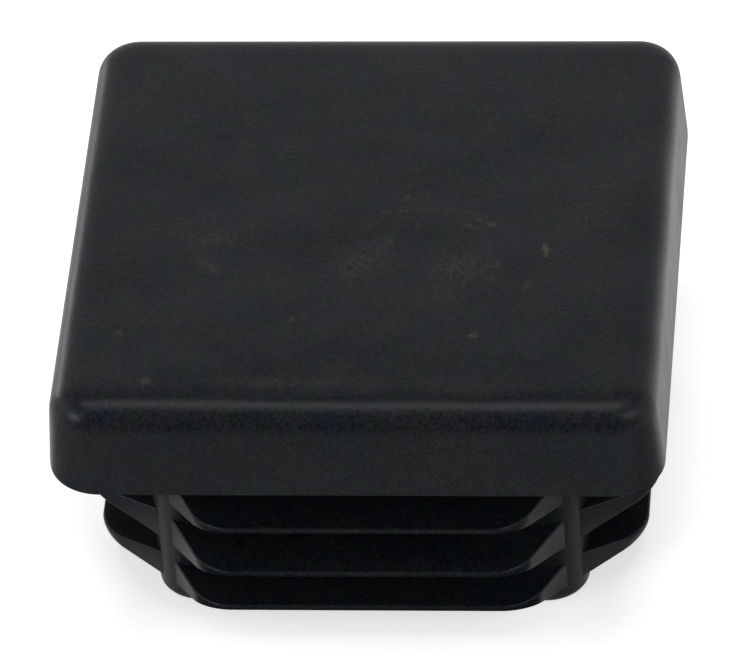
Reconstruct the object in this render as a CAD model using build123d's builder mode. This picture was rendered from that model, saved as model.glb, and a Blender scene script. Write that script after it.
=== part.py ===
from build123d import *
import os
from math import cos, radians, tan

# Millimetres, +Z up. Z = 0 is the shoulder, the plane that meets the cut end of the tube.
tube_outside = 25.0            # outside width of the square tube that the cap closes
tube_wall = 1.0                # wall of the lightest tube that it grips

# Head: the visible cap, flush with the outside of the tube
head_height = 4.2
head_foot_corner = 2.2         # corner radius in plan at the shoulder
head_crown_corner = 1.6        # corner radius in plan at the top
head_lean = 0.3                # how far each side leans in by the top
foot_land = 0.25               # upright band at the foot of the sides
crown_radius = 1.15            # rounding of the top edge

# Core: the hollow square stub that goes down inside the tube
core_gap = 2.57                # from the tube's bore to the core, where the fins bend
core_corner = 1.75
core_wall = 1.45               # at the open end
core_nose = 2.03               # core below the top of the last fin
nose_radius = 0.35             # rounding of the leading edge
hollow_corner = 1.0
hollow_draft = 1.0             # degrees, the hollow narrows upwards
roof_thickness = 2.7           # head left above the hollow
roof_radius = 0.6              # rounding inside, where the hollow meets its roof

# Fins: thin flexible skirts round the core, flat above and sloped below
fin_count = 3
fin_drop = 2.37                # from the shoulder to the top of the first fin
fin_pitch = 2.35
fin_tip = 0.27                 # thickness at the tip
fin_slope = 21.0               # degrees, rise of the underside towards the tip
fin_squeeze = 0.4              # how far a gripping fin stands past the bore on each side
fin_entry = 0.15               # how far the leading fin stays inside the bore on each side
fin_bend = 1.86                # radius in plan where a notch cut meets the tip
fin_bury = 0.8                 # how far a fin runs into the core's wall
notch_angle = 62.0             # degrees, between a notch cut and the tip it ends
notch_inset = 0.13             # how far the core's corner stands out of the notch

# Sizes that follow from these
bore_width = tube_outside - 2 * tube_wall
core_width = bore_width - 2 * core_gap
core_depth = fin_drop + (fin_count - 1) * fin_pitch + core_nose
core_corner_reach = core_width / 2 - core_corner * (1 - cos(radians(45)))
notch_vertex = core_corner_reach - notch_inset
hollow_top = head_height - roof_thickness
hollow_width = core_width - 2 * core_wall


def fin_corners(half_span):
    """Corner points of a fin in plan: each side's two tip corners, then the notch that follows."""
    half_tip = notch_vertex - (half_span - notch_vertex) / tan(radians(notch_angle))
    side = [(-half_tip, -half_span), (half_tip, -half_span), (notch_vertex, -notch_vertex)]
    points = []
    for quarter in range(4):
        points += side
        side = [(-y, x) for x, y in side]
    return points


def make_fin(top, half_span):
    """One fin with its flat upper face at height top: a square wedge, cut back at each corner."""
    root_half = core_width / 2 - fin_bury
    root = top - fin_tip - (half_span - root_half) * tan(radians(fin_slope))
    with BuildPart() as wedge:
        with BuildSketch(Plane.XY.offset(top)):
            Rectangle(2 * half_span, 2 * half_span)
        extrude(amount=-fin_tip)
        with BuildSketch(Plane.XY.offset(top - fin_tip)):
            Rectangle(2 * half_span, 2 * half_span)
        with BuildSketch(Plane.XY.offset(root)):
            Rectangle(2 * root_half, 2 * root_half)
        loft(ruled=True)
    with BuildPart() as fin:
        with BuildSketch(Plane.XY.offset(top)) as plan:
            with BuildLine():
                Polyline(*fin_corners(half_span), close=True)
            make_face()
            tip_corners = [v for v in plan.vertices() if max(abs(v.X), abs(v.Y)) > notch_vertex + fin_tip]
            fillet(tip_corners, radius=fin_bend)
        extrude(amount=root - top)
        add(wedge.part, mode=Mode.INTERSECT)
    return fin.part


fins = []
for level in range(fin_count):
    leading = level == fin_count - 1
    half_span = bore_width / 2 - fin_entry if leading else bore_width / 2 + fin_squeeze
    fins.append(make_fin(-fin_drop - level * fin_pitch, half_span))

with BuildPart() as end_cap:
    # head: an upright foot, then sides that lean in to the rounded top edge
    with BuildSketch(Plane.XY):
        RectangleRounded(tube_outside, tube_outside, head_foot_corner)
    extrude(amount=foot_land)
    with BuildSketch(Plane.XY.offset(foot_land)):
        RectangleRounded(tube_outside, tube_outside, head_foot_corner)
    with BuildSketch(Plane.XY.offset(head_height)):
        RectangleRounded(tube_outside - 2 * head_lean, tube_outside - 2 * head_lean, head_crown_corner)
    loft()
    fillet(end_cap.faces().sort_by(Axis.Z)[-1].edges(), radius=crown_radius)

    # core with a rounded leading edge
    with BuildSketch(Plane.XY):
        RectangleRounded(core_width, core_width, core_corner)
    extrude(amount=-core_depth)
    fillet(end_cap.faces().sort_by(Axis.Z)[0].edges(), radius=nose_radius)

    for fin_part in fins:
        add(fin_part)

    # hollow, open at the leading end and closed by the head
    with BuildSketch(Plane.XY.offset(-core_depth)):
        RectangleRounded(hollow_width, hollow_width, hollow_corner)
    extrude(amount=core_depth + hollow_top, taper=hollow_draft, mode=Mode.SUBTRACT)
    roof = end_cap.faces(Select.LAST).sort_by(Axis.Z)[-1]
    fillet(roof.edges(), radius=roof_radius)

end_cap.part.label = "end_cap"

os.makedirs("parts", exist_ok=True)
export_step(end_cap.part, "parts/end_cap.step")
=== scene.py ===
import bmesh
import bpy
from math import atan2, cos, pi, radians, sin, tan
from mathutils import Matrix, Vector


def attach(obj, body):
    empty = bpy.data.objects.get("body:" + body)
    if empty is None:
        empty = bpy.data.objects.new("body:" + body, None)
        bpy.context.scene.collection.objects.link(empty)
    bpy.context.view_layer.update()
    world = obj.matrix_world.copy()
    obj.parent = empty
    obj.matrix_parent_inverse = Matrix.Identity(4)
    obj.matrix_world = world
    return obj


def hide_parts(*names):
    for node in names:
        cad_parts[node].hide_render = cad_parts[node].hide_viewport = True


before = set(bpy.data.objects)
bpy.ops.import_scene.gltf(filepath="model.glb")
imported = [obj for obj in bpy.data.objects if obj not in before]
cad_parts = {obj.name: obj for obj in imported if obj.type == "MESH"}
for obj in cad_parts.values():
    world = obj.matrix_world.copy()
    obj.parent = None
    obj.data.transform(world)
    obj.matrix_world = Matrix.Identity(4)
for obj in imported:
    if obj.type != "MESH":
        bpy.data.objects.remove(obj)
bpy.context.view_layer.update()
print("frame loaded, nodes:", sorted(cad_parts))


def toObjectMode():
    if bpy.context.mode != "OBJECT":
        bpy.ops.object.mode_set(mode="OBJECT")


def pick(*objects):
    toObjectMode()
    bpy.ops.object.select_all(action="DESELECT")
    for item in objects:
        item.select_set(True)
    if objects:
        bpy.context.view_layer.objects.active = objects[-1]


def select(item, kind, keep):                  # goes into edit mode with what keep() says yes to
    pick(item)
    bpy.ops.object.mode_set(mode="EDIT")
    bpy.ops.mesh.select_mode(type={"verts": "VERT", "edges": "EDGE", "faces": "FACE"}[kind])
    bpy.ops.mesh.select_all(action="DESELECT")
    made = bmesh.from_edit_mesh(item.data)
    for part in getattr(made, kind):
        if keep(part):
            part.select_set(True)
    made.select_flush_mode()
    bmesh.update_edit_mesh(item.data)


# The moulding is modelled with one unit to the millimetre and brought down to metres when it is whole.
# Shell: head, core and hollow as one skin of rounded-square rings, from the hollow's roof out to the top.

shell = {
    "width": 25.0, "height": 4.2,
    "footCorner": 2.2, "crownCorner": 1.6, "lean": 0.3,
    "footLand": 0.25, "crownReach": 1.68, "crownPower": 3.0,
    "coreHalf": 8.93, "coreCorner": 1.75, "coreDepth": 9.1, "noseRadius": 0.35,
    "hollowHalf": 7.48, "hollowCorner": 1.0, "hollowDraft": 1.0, "hollowTop": 1.5,
    "roofRadius": 0.6, "mouthRadius": 0.2,
    "cornerCuts": 14, "crownCuts": 16, "roofCuts": 5, "mouthCuts": 3, "noseCuts": 4,
    "bridgeDrop": 1.0,                         # the core's top ring waits this far down until it is bridged
}
roundProfile = 0.5                             # a bevel's profile when it is a circle's arc


def arcRings(half, corner, height, radius, start, end, cuts):
    rings = []
    for step in range(cuts + 1):
        angle = radians(start + (end - start) * step / cuts)
        outward, upward = radius * cos(angle), radius * sin(angle)
        rings.append((half + outward, corner + outward, height + upward))
    return rings


def innerRings(s):                             # roof, walls and mouth of the hollow
    draft = tan(radians(s["hollowDraft"])) * (s["coreDepth"] + s["hollowTop"])
    roof, mouth = s["roofRadius"], s["mouthRadius"]
    rings = arcRings(
        s["hollowHalf"] - draft - roof, s["hollowCorner"] - draft - roof, s["hollowTop"] - roof,
        roof, 90, 0, s["roofCuts"],
    )
    return rings + arcRings(
        s["hollowHalf"] + mouth, s["hollowCorner"] + mouth, mouth - s["coreDepth"],
        mouth, 180, 270, s["mouthCuts"],
    )


def coreRings(s):                              # nose and outside of the core
    nose = s["noseRadius"]
    rings = arcRings(
        s["coreHalf"] - nose, s["coreCorner"] - nose, nose - s["coreDepth"],
        nose, -90, 0, s["noseCuts"],
    )
    return rings + [(s["coreHalf"], s["coreCorner"], -s["bridgeDrop"])]


def crownCurve(s, steepest):                   # points and slopes of the crown's section, from side to top
    curve = []
    for step in range(s["crownCuts"]):
        slope = tan(steepest + (pi / 2 - steepest) * step / s["crownCuts"])
        ratio = slope ** (1 / (s["crownPower"] - 1))
        across = s["crownReach"] / (1 + ratio ** s["crownPower"]) ** (1 / s["crownPower"])
        curve.append((across, across * ratio))
    return curve + [(0.0, s["crownReach"])]


def headRings(s):                              # foot, leaning side and rounded crown of the head
    rise = s["height"] - s["footLand"]
    curve = crownCurve(s, atan2(s["lean"], rise))
    centre = s["height"] - s["crownReach"]
    share = (centre + curve[0][1] - s["footLand"]) / rise       # where the lean meets the crown
    half = s["width"] / 2 - s["lean"] * share - curve[0][0]
    corner = s["footCorner"] + (s["crownCorner"] - s["footCorner"]) * share - curve[0][0]
    rings = [(s["width"] / 2, s["footCorner"], height) for height in (0.0, s["footLand"])]
    return rings + [(half + across, corner + across, centre + up) for across, up in curve]


def addRing(half, corner, height, cuts):
    pick()
    bpy.ops.mesh.primitive_plane_add(size=2 * half, location=(0, 0, height))
    ring = bpy.context.active_object
    bpy.ops.object.transform_apply(location=True, rotation=True, scale=True)
    bpy.ops.object.mode_set(mode="EDIT")
    bpy.ops.mesh.select_all(action="SELECT")
    bpy.ops.mesh.bevel(offset=corner, segments=cuts, affect="VERTICES", profile=roundProfile)
    bpy.ops.mesh.select_all(action="SELECT")
    bpy.ops.mesh.delete(type="ONLY_FACE")
    toObjectMode()
    return ring


def makeShell(s):
    inner, core, head = innerRings(s), coreRings(s), headRings(s)
    rings = [addRing(*ring, s["cornerCuts"]) for ring in inner + core + head]
    count = len(rings)
    pick(*rings[1:], rings[0])
    bpy.ops.object.join()                      # the rings keep their order, first to last
    body = bpy.context.active_object
    body.name = body.data.name = "endCapMoulding"
    points = len(body.data.vertices) // count

    def inRings(first, last):
        return lambda v: first * points <= v.index < (last + 1) * points

    for ring in range(count - 1):
        select(body, "verts", inRings(ring, ring + 1))
        bpy.ops.mesh.bridge_edge_loops()
    for ring in (0, count - 1):                # the hollow's roof and the top face
        select(body, "verts", inRings(ring, ring))
        bpy.ops.mesh.edge_face_add()
    shoulder = len(inner) + len(core) - 1
    select(body, "verts", inRings(shoulder, shoulder))
    bpy.ops.transform.translate(value=(0, 0, s["bridgeDrop"]))
    bpy.ops.mesh.select_all(action="SELECT")
    bpy.ops.mesh.normals_make_consistent(inside=False)
    toObjectMode()
    print("shell:", count, "rings of", points, "points")
    return body


# Fins: each level has one tab a side, sunk into the core's wall. Two tabs leave the notch at a corner.

fins = {
    "count": 3, "drop": 2.37, "pitch": 2.35,
    "tip": 0.27, "slope": 21.0,
    "gripHalf": 11.9, "entryHalf": 11.35,
    "bend": 1.86, "bendCuts": 10,
    "notchVertex": 8.29, "notchAngle": 62.0,
    "buriedHalf": 8.45, "edgeBreak": 0.09, "edgeCuts": 3,
    "sides": 4,
}
near = 0.001                                   # how close two lengths are when they count as the same
facing = 0.9                                   # how far forward the normal of a forward face points


def upright(edge):
    a, b = (v.co for v in edge.verts)
    return abs(a.x - b.x) < near and abs(a.y - b.y) < near


def makeTab(f, halfSpan, top):                 # the front one
    depth = halfSpan - f["buriedHalf"]
    flare = 1 / tan(radians(f["notchAngle"]))
    rootWidth = f["notchVertex"] - (f["buriedHalf"] - f["notchVertex"]) * flare
    tipWidth = f["notchVertex"] - (halfSpan - f["notchVertex"]) * flare
    midDepth, midHeight = -(halfSpan + f["buriedHalf"]) / 2, top - f["tip"] / 2
    pick()
    bpy.ops.mesh.primitive_cube_add(size=1, location=(0, midDepth, midHeight))
    tab = bpy.context.active_object
    tab.scale = (2 * rootWidth, depth, f["tip"])
    bpy.ops.object.transform_apply(location=True, rotation=True, scale=True)
    select(tab, "faces", lambda face: face.normal.y < -facing)  # narrow the tip
    bpy.ops.transform.resize(value=(tipWidth / rootWidth, 1, 1))
    select(tab, "verts", lambda v: v.co.y > midDepth and v.co.z < midHeight)
    bpy.ops.transform.translate(value=(0, 0, -depth * tan(radians(f["slope"]))))
    select(tab, "edges", lambda e: upright(e) and e.verts[0].co.y < midDepth)
    bendReach = f["bend"] * tan(radians(f["notchAngle"] / 2))
    bpy.ops.mesh.bevel(
        offset=bendReach, segments=f["bendCuts"], affect="EDGES", profile=roundProfile,
    )
    buried = -f["buriedHalf"] - near
    select(tab, "edges", lambda e: not upright(e) and min(v.co.y for v in e.verts) < buried)
    bpy.ops.mesh.bevel(
        offset=f["edgeBreak"], segments=f["edgeCuts"], affect="EDGES", profile=roundProfile,
    )
    toObjectMode()
    return tab


def makeFins(f):
    tabs = []
    for level in range(f["count"]):
        halfSpan = f["entryHalf"] if level == f["count"] - 1 else f["gripHalf"]
        for side in range(f["sides"]):
            tab = makeTab(f, halfSpan, -f["drop"] - level * f["pitch"])
            tab.rotation_euler = (0, 0, side * 2 * pi / f["sides"])
            pick(tab)
            bpy.ops.object.transform_apply(location=True, rotation=True, scale=True)
            tabs.append(tab)
    pick(*tabs)
    bpy.ops.object.join()
    print("fins:", len(tabs), "tabs")
    return bpy.context.active_object


# Whole moulding: one closed skin, smooth but for its true edges, in metres.

moulding = {"smoothAngle": 32.0, "toMetres": 0.001}


def fuse(body, added):
    union = body.modifiers.new("union", "BOOLEAN")
    union.operation = "UNION"
    union.solver = "EXACT"
    union.object = added
    pick(body)
    bpy.ops.object.modifier_apply(modifier=union.name)
    bpy.data.objects.remove(added, do_unlink=True)


def finishMoulding(body, m):
    pick(body)
    body.scale = (m["toMetres"],) * 3
    bpy.ops.object.transform_apply(location=True, rotation=True, scale=True)
    bpy.ops.object.shade_smooth_by_angle(angle=radians(m["smoothAngle"]))
    even = body.modifiers.new("evenNormals", "WEIGHTED_NORMAL")
    even.keep_sharp = True
    bpy.ops.object.modifier_apply(modifier=even.name)


body = makeShell(shell)
fuse(body, makeFins(fins))
finishMoulding(body, moulding)
print("moulding:", len(body.data.polygons), "faces")

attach(body, "root")
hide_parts("end_cap")

# Camera: turned about the upright, tilted from straight down, rolled, then drawn back along its own axis.

cameraPlace = {
    "lens": 429.81, "sensor": 36.0,            # millimetres
    "turn": 6.8785, "tilt": 49.6355, "roll": -4.3477,
    "distance": 0.3663233, "slideX": 0.0001678, "slideY": -0.0015126,
    "nearest": 0.01, "farthest": 10.0,
    "across": 742, "down": 663,                # pixels of the picture
}


def cameraMatrix(c):
    turn = Matrix.Rotation(radians(c["turn"]), 4, "Z") @ Matrix.Rotation(radians(c["tilt"]), 4, "X")
    turn = turn @ Matrix.Rotation(radians(c["roll"]), 4, "Z")
    return turn @ Matrix.Translation((-c["slideX"], c["slideY"], c["distance"]))


def placeSeen(c, across, down, height):        # where a pixel's line of sight comes to a height, in metres
    perPixel = c["sensor"] / c["lens"] / c["across"]
    matrix = cameraMatrix(c)
    sight = Vector(((across - c["across"] / 2) * perPixel, (c["down"] / 2 - down) * perPixel, -1))
    sight.rotate(matrix.to_quaternion())
    place = matrix.translation + sight * (height - matrix.translation.z) / sight.z
    return place.x, place.y


def makeCamera(c):
    eye = bpy.data.cameras.new("camera")
    eye.lens = c["lens"]
    eye.sensor_width = c["sensor"]
    eye.sensor_fit = "HORIZONTAL"
    eye.clip_start = c["nearest"]
    eye.clip_end = c["farthest"]
    camera = bpy.data.objects.new("camera", eye)
    bpy.context.scene.collection.objects.link(camera)
    camera.matrix_world = cameraMatrix(c)
    bpy.context.scene.camera = camera


makeCamera(cameraPlace)

# Moulded plastic: every length in it is in millimetres of the part's own frame.

satinPlastic = {
    "perMetre": 1000.0,
    "cool": (0.0058, 0.0078, 0.0115),
    "warm": (0.0092, 0.0081, 0.0110),
    "green": (0.0068, 0.0097, 0.0096),
    "warmFade": (0.60, 0.40),                  # cloud at which a patch is fully warm, and not at all
    "greenFade": (0.66, 0.44),                 # the same for mottle and green
    "roughness": 0.37, "specular": 0.12,
    "cloud": {"scale": 0.45, "detail": 4.0, "rough": 0.62},
    "mottle": {"scale": 1.3, "detail": 3.0, "rough": 0.55},
    "grain": {"scale": 7.5, "detail": 3.0, "rough": 0.6},
    "waves": {"scale": 0.16, "detail": 1.5, "rough": 0.4},
    "noiseMiddle": 0.5,                        # what each noise is worth on average
    "cloudInRoughness": 0.14, "grainInRoughness": 0.10, "grainInColour": 3.0,
    "waveHeight": 0.26, "grainHeight": 0.009,
    "ragged": 0.35,                            # how far noise pushes the outline of a mark
    "grainFade": (0.62, 0.34), "mottleFade": (0.66, 0.36),      # where grain and mottle let a mark show
    "markColour": (0.130, 0.122, 0.086), "markRoughness": 0.3,
    "dust": {"scale": 0.6, "radius": 0.05, "share": 0.3, "strength": 0.08},
}

feather = 0.3                                  # how far a fully soft mark fades past its own outline
scuffs = {                                     # x, y, turn, half length and width, softness, strength
    "scratchEnd": (4.95, -0.42, -34, 0.70, 0.14, 0.8, 0.141),
    "scratchTwin": (4.25, -0.55, -30, 0.55, 0.11, 0.9, 0.077),
    "streakUpper": (1.38, 1.18, 36, 0.52, 0.14, 0.8, 0.126),
    "streakTail": (0.55, 0.30, 44, 0.60, 0.15, 0.9, 0.054),
    "smearMiddle": (-0.15, -2.75, 46, 2.0, 0.94, 1.0, 0.058),
    "smearRight": (3.85, -3.35, 60, 1.6, 1.69, 1.0, 0.061),
    "smearRightLow": (3.3, -5.0, 20, 1.5, 1.00, 1.0, 0.025),
    "smearLeft": (-6.45, -1.45, 8, 1.3, 0.62, 1.0, 0.056),
    "smearLeftLow": (-6.6, -2.6, -60, 1.2, 0.56, 1.0, 0.036),
    "streakLeft": (-6.25, -3.30, -45, 0.75, 0.24, 0.9, 0.072),
    "patchFarRight": (9.0, 0.6, 70, 2.2, 1.1, 1.0, 0.027),
    "smearFront": (-2.9, -10.35, 2, 3.4, 0.44, 1.0, 0.045),
    "rubUpperLeft": (-5.5, 5.0, 85, 2.4, 0.5, 1.0, 0.025),
    "rubUpper": (4.6, 6.0, 85, 2.0, 0.4, 1.0, 0.020),
}
flecks = {                                     # the same, with pixels across and down in place of x and y
    "paintFleck": (545, 249, 100, 0.53, 0.18, 0.7, 0.289),
    "fleckGreen": (498.5, 265, 80, 0.31, 0.23, 0.8, 0.099),
    "fleckLow": (527.5, 284, 80, 0.48, 0.18, 0.9, 0.069),
    "fleckFront": (474, 335, 0, 0.30, 0.25, 0.8, 0.130),
    "fleckMiddle": (389, 241, 60, 0.24, 0.20, 0.8, 0.092),
    "fleckBlue": (417.5, 226, 90, 0.22, 0.16, 0.8, 0.099),
    "fleckSmall": (291, 320, 70, 0.24, 0.18, 0.8, 0.076),
    "fleckCorner": (146, 382, 20, 0.26, 0.26, 0.8, 0.130),
    "fleckLeft": (119, 334, 80, 0.29, 0.23, 0.8, 0.076),
}
arcScratch = {
    "centreX": 2.6, "centreY": -2.9, "radius": 3.52, "halfWidth": 0.26,
    "above": -1.4, "fadeOver": 1.0,            # the y where it starts, and how far it takes to come in
    "strength": 0.032,
}
colourSockets = {"first": 6, "second": 7, "result": 2}         # the Mix node's own when it mixes colours


def addNode(tree, kind, inputs, **settings):   # inputs take a number, a vector or another node's output
    made = tree.nodes.new("ShaderNode" + kind)
    for name, value in settings.items():
        setattr(made, name, value)
    for name, value in inputs.items():
        if isinstance(value, bpy.types.NodeSocket):
            tree.links.new(value, made.inputs[name])
        else:
            made.inputs[name].default_value = value
    return made


def compute(tree, operation, first, second=0.0, third=0.0, clamp=False):
    inputs = {0: first, 1: second, 2: third}
    return addNode(tree, "Math", inputs, operation=operation, use_clamp=clamp).outputs["Value"]


def scaled(tree, vector, scale):
    inputs = {0: vector, "Scale": scale}
    return addNode(tree, "VectorMath", inputs, operation="SCALE").outputs["Vector"]


def combine(tree, operation, first, second):   # of two vectors
    inputs = {0: first, 1: second}
    return addNode(tree, "VectorMath", inputs, operation=operation).outputs["Vector"]


def reachOf(tree, vector):
    return addNode(tree, "VectorMath", {0: vector}, operation="LENGTH").outputs["Value"]


def noise(tree, place, n, result="Fac"):
    inputs = {"Vector": place, "Scale": n["scale"], "Detail": n["detail"], "Roughness": n["rough"]}
    return addNode(tree, "TexNoise", inputs).outputs[result]


def fade(tree, value, full, none):             # 1 up to full, falling softly to 0 at none
    inputs = {"Value": value, "From Min": none, "From Max": full, "To Min": 0.0, "To Max": 1.0}
    return addNode(tree, "MapRange", inputs, interpolation_type="SMOOTHSTEP").outputs["Result"]


def mixColour(tree, factor, first, second):    # each colour is another node's output or red, green and blue
    inputs = {0: factor}
    for name, colour in (("first", first), ("second", second)):
        plain = not isinstance(colour, bpy.types.NodeSocket)
        inputs[colourSockets[name]] = (*colour, 1) if plain else colour
    return addNode(tree, "Mix", inputs, data_type="RGBA").outputs[colourSockets["result"]]


def allMarks(perMetre):                        # the scuffs, and the flecks brought to millimetres of the top
    marks = list(scuffs.values())
    for across, down, *rest in flecks.values():
        seen = placeSeen(cameraPlace, across, down, shell["height"] / perMetre)
        marks.append((seen[0] * perMetre, seen[1] * perMetre, *rest))
    return marks


def makeScuffs(tree, place, height, marks):
    total = None
    for x, y, turn, length, width, softness, strength in marks:
        inputs = {
            "Vector": place, "Location": (x, y, height),
            "Rotation": (0, 0, radians(turn)), "Scale": (length, width, 1),
        }
        local = addNode(tree, "Mapping", inputs, vector_type="TEXTURE").outputs["Vector"]
        shape = fade(tree, reachOf(tree, local), 1 - softness, 1.0 + feather * softness)
        mark = compute(tree, "MULTIPLY", shape, strength)
        total = mark if total is None else compute(tree, "MAXIMUM", total, mark)
    return total


def makeArc(tree, place, height, a):           # a thin ring, kept on its upper side only
    away = combine(tree, "SUBTRACT", place, (a["centreX"], a["centreY"], height))
    off = compute(tree, "ABSOLUTE", compute(tree, "SUBTRACT", reachOf(tree, away), a["radius"]))
    ring = fade(tree, off, 0.0, a["halfWidth"])
    yPlace = addNode(tree, "SeparateXYZ", {"Vector": place}).outputs["Y"]
    upper = fade(tree, yPlace, a["above"] + a["fadeOver"], a["above"])
    return compute(tree, "MULTIPLY", compute(tree, "MULTIPLY", ring, upper), a["strength"])


def makeDust(tree, place, d):                  # a share of the cells has a speck, each of its own strength
    cells = addNode(tree, "TexVoronoi", {"Vector": place, "Scale": d["scale"]})
    speck = fade(tree, cells.outputs["Distance"], 0.0, d["radius"])
    draws = addNode(tree, "SeparateColor", {"Color": cells.outputs["Color"]})
    some = compute(tree, "LESS_THAN", draws.outputs["Red"], d["share"])
    strength = compute(tree, "MULTIPLY", draws.outputs["Green"], d["strength"])
    return compute(tree, "MULTIPLY", compute(tree, "MULTIPLY", speck, some), strength)


def makePlastic(p):
    material = bpy.data.materials.new("satinBlackPlastic")
    material.use_nodes = True
    tree = material.node_tree
    shader = tree.nodes["Principled BSDF"]
    shader.inputs["Specular IOR Level"].default_value = p["specular"]
    place = scaled(tree, addNode(tree, "TexCoord", {}).outputs["Object"], p["perMetre"])
    cloud, mottle = noise(tree, place, p["cloud"]), noise(tree, place, p["mottle"])
    grain, waves = noise(tree, place, p["grain"]), noise(tree, place, p["waves"])

    middle, top = p["noiseMiddle"], shell["height"]
    push = combine(tree, "SUBTRACT", noise(tree, place, p["mottle"], "Color"), (middle,) * 3)
    ragged = combine(tree, "ADD", place, scaled(tree, push, p["ragged"]))
    scuffed = makeScuffs(tree, ragged, top, allMarks(p["perMetre"]))
    scratched = makeArc(tree, ragged, top, arcScratch)
    broken = compute(tree, "ADD", fade(tree, grain, *p["grainFade"]), fade(tree, mottle, *p["mottleFade"]))
    marks = compute(tree, "MULTIPLY", compute(tree, "MAXIMUM", scuffed, scratched), broken)
    marks = compute(tree, "MAXIMUM", marks, makeDust(tree, place, p["dust"]), clamp=True)

    grainSwing, cloudSwing = (compute(tree, "SUBTRACT", value, middle) for value in (grain, cloud))
    plain = mixColour(tree, fade(tree, cloud, *p["warmFade"]), p["cool"], p["warm"])
    plain = mixColour(tree, fade(tree, mottle, *p["greenFade"]), plain, p["green"])
    plain = scaled(tree, plain, compute(tree, "MULTIPLY_ADD", grainSwing, p["grainInColour"], 1.0))
    tree.links.new(mixColour(tree, marks, plain, p["markColour"]), shader.inputs["Base Color"])

    roughness = compute(tree, "MULTIPLY_ADD", cloudSwing, p["cloudInRoughness"], p["roughness"])
    roughness = compute(tree, "MULTIPLY_ADD", grainSwing, p["grainInRoughness"], roughness)
    roughness = compute(tree, "MULTIPLY_ADD", marks, p["markRoughness"], roughness)
    tree.links.new(roughness, shader.inputs["Roughness"])

    wavy = addNode(tree, "Bump", {"Height": waves, "Distance": p["waveHeight"] / p["perMetre"]})
    inputs = {
        "Height": grain, "Distance": p["grainHeight"] / p["perMetre"],
        "Normal": wavy.outputs["Normal"],
    }
    grainy = addNode(tree, "Bump", inputs)
    tree.links.new(grainy.outputs["Normal"], shader.inputs["Normal"])
    print("plastic:", len(tree.nodes), "nodes")
    return material


body.data.materials.clear()
body.data.materials.append(makePlastic(satinPlastic))

# Studio: a pale floor, a white surround, soft boxes, and cards that only glossy rays see. The flags keep
# parts of the surround out of the plastic, and the shades stand for its own shadow on the floor it mirrors.

studio = {
    "floorSize": 1.0, "floorHeight": -0.0091, "floorColour": 0.8, "floorGlow": 0.53,
    "openingHalf": 0.0082,                     # opening under the core, so that light reaches the hollow
    "worldLight": 0.14, "worldWhite": 1.0,
    "lamps": {                                 # place, aim, width and depth in metres, watts
        "overheadStrip": ((0, 0.035, 0.45), (0, -0.012, 0), (0.30, 0.04), 0.72),
        "overheadSoft": ((0, -0.10, 0.45), (0, -0.01, 0), (0.30, 0.14), 0.40),
        "leftGlint": ((-0.344, -0.32, 0.15), (0, 0, 0), (0.14, 0.14), 1.1),
        "rightGlint": ((0.330, -0.29, 0.25), (0, 0, 0), (0.13, 0.26), 0.80),
        "leftBox": ((-0.50, -0.02, 0.24), (0, 0, 0), (0.30, 0.36), 0.35),
        "rightBox": ((0.50, -0.02, 0.24), (0, 0, 0), (0.30, 0.36), 0.20),
        "backGlow": ((0, 0.16, 0.12), (0, 0, 0.004), (0.20, 0.06), 0.019),
        "backLeft": ((-0.38, 0.32, 0.06), (0, 0, 0), (0.16, 0.12), 0.55),
    },
    "flags": {                                 # place, aim, width and depth in metres, grey
        "frontFlag": ((0, -0.60, 0.42), (0, 0, 0.42), (1.6, 0.84), 0.02),
        "floorFlag": ((0, -0.317, -0.0088), (0, -0.317, 1), (1.6, 0.566), 0.02),
        "ceilingFlag": ((0, 0.15, 0.70), (0, 0.15, 0), (1.2, 1.13), 0.02),
        "nearFlag": ((0, 0.083, 0.10), (0, 0.083, 0), (0.4, 0.05), 0.02),
        "shadeFront": ((0, -0.0155, -0.0089), (0, -0.0155, 1), (0.0265, 0.011), 0.02),
        "shadeFrontLeft": ((-0.023, -0.012, -0.0089), (-0.023, -0.012, 1), (0.0195, 0.018), 0.40),
        "shadeFrontRight": ((0.023, -0.012, -0.0089), (0.023, -0.012, 1), (0.0195, 0.018), 0.40),
    },
    "cardRoughness": 1.0, "cardSpecular": 0.0,
}
plainWhite = (1, 1, 1, 1)


def backgroundRays(tree):                      # 1 for camera, glossy and transmission rays, 0 for the rest
    path = addNode(tree, "LightPath", {}).outputs
    total = path["Is Camera Ray"]
    for name in ("Is Glossy Ray", "Is Transmission Ray"):
        total = compute(tree, "MAXIMUM", total, path[name])
    return total


def makeWorld(s):
    world = bpy.data.worlds.new("surround")
    world.use_nodes = True
    tree = world.node_tree
    light = tree.nodes["Background"]
    light.inputs["Color"].default_value = plainWhite
    light.inputs["Strength"].default_value = s["worldLight"]
    white = addNode(tree, "Background", {"Color": plainWhite, "Strength": s["worldWhite"]})
    mix = addNode(tree, "MixShader", {
        "Fac": backgroundRays(tree), 1: light.outputs["Background"], 2: white.outputs["Background"],
    })
    tree.links.new(mix.outputs["Shader"], tree.nodes["World Output"].inputs["Surface"])
    bpy.context.scene.world = world


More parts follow.
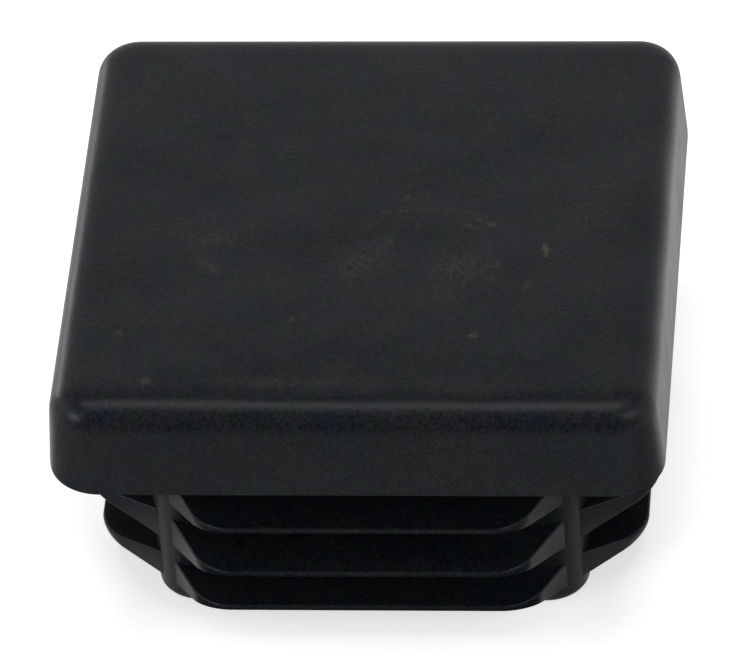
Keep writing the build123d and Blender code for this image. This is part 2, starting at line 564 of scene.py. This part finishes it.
def makeFloorMaterial(s):                      # pale from above with the shadow kept, clear from below
    material = bpy.data.materials.new("paleFloor")
    material.use_nodes = True
    tree = material.node_tree
    tree.nodes.remove(tree.nodes["Principled BSDF"])
    paint = addNode(tree, "BsdfDiffuse", {"Color": (s["floorColour"],) * 3 + (1,)})
    glow = addNode(tree, "Emission", {"Color": backgroundRays(tree), "Strength": s["floorGlow"]})
    lit = addNode(tree, "AddShader", {0: paint.outputs["BSDF"], 1: glow.outputs["Emission"]})
    clear = addNode(tree, "BsdfTransparent", {})
    side = addNode(tree, "NewGeometry", {})
    mix = addNode(tree, "MixShader", {
        "Fac": side.outputs["Backfacing"], 1: lit.outputs["Shader"], 2: clear.outputs["BSDF"],
    })
    tree.links.new(mix.outputs["Shader"], tree.nodes["Material Output"].inputs["Surface"])
    return material


def makeFloor(s):
    pick()
    bpy.ops.mesh.primitive_plane_add(size=s["floorSize"], location=(0, 0, s["floorHeight"]))
    floor = bpy.context.active_object
    floor.name = "floor"
    bpy.ops.object.mode_set(mode="EDIT")
    bpy.ops.mesh.select_all(action="SELECT")
    bpy.ops.mesh.inset(thickness=s["floorSize"] / 2 - s["openingHalf"], depth=0)
    bpy.ops.mesh.delete(type="FACE")
    toObjectMode()
    floor.data.materials.append(makeFloorMaterial(s))


def aimed(place, aim):
    turn = (Vector(place) - Vector(aim)).to_track_quat("Z", "Y")
    return Matrix.LocRotScale(Vector(place), turn, None)


def makeLamps(s):
    for name, (place, aim, size, power) in s["lamps"].items():
        light = bpy.data.lights.new(name, "AREA")
        light.shape = "RECTANGLE"
        light.size, light.size_y = size
        light.energy = power
        lamp = bpy.data.objects.new(name, light)
        lamp.matrix_world = aimed(place, aim)
        lamp.visible_camera = False
        bpy.context.scene.collection.objects.link(lamp)


def makeFlags(s):
    for name, (place, aim, size, grey) in s["flags"].items():
        card = bpy.data.materials.new(name)
        card.use_nodes = True
        shader = card.node_tree.nodes["Principled BSDF"]
        shader.inputs["Base Color"].default_value = (grey, grey, grey, 1)
        shader.inputs["Roughness"].default_value = s["cardRoughness"]
        shader.inputs["Specular IOR Level"].default_value = s["cardSpecular"]
        pick()
        bpy.ops.mesh.primitive_plane_add(size=1)
        flag = bpy.context.active_object
        flag.name = name
        flag.scale = (*size, 1)
        bpy.ops.object.transform_apply(location=True, rotation=True, scale=True)
        flag.matrix_world = aimed(place, aim)
        flag.data.materials.append(card)
        for rays in ("camera", "diffuse", "shadow", "transmission"):
            setattr(flag, "visible_" + rays, False)


makeWorld(studio)
makeFloor(studio)
makeLamps(studio)
makeFlags(studio)
print("studio:", len(studio["lamps"]), "lamps,", len(studio["flags"]), "flags")

bpy.context.scene.view_settings.view_transform = "Standard"

bpy.context.view_layer.update()
